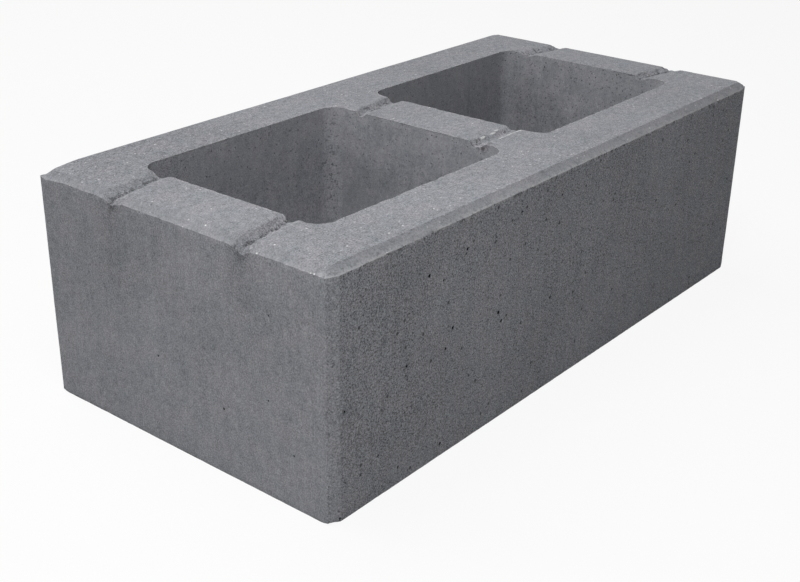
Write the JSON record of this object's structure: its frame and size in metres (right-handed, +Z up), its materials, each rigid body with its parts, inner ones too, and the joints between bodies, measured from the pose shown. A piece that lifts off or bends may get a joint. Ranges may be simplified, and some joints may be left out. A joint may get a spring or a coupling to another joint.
{
  "type": "hollow concrete block",
  "caption": "Rectangular hollow concrete walling block with through cores, cross webs grooved by the mould's core bars, and chamfered top edges and corners.",
  "frame": {"origin": "middle of the underside, which the block lies on", "axes": "+X along the block's length, +Y across it towards the back face shell, +Z up along the cores, out of the grooved and chamfered top face"},
  "size_m": [0.5, 0.25, 0.16],
  "materials": {
    "concrete": "matt grey cast concrete with fine pores"
  },
  "bodies": {
    "root": {"block": "concrete"}
  },
  "joints": []
}
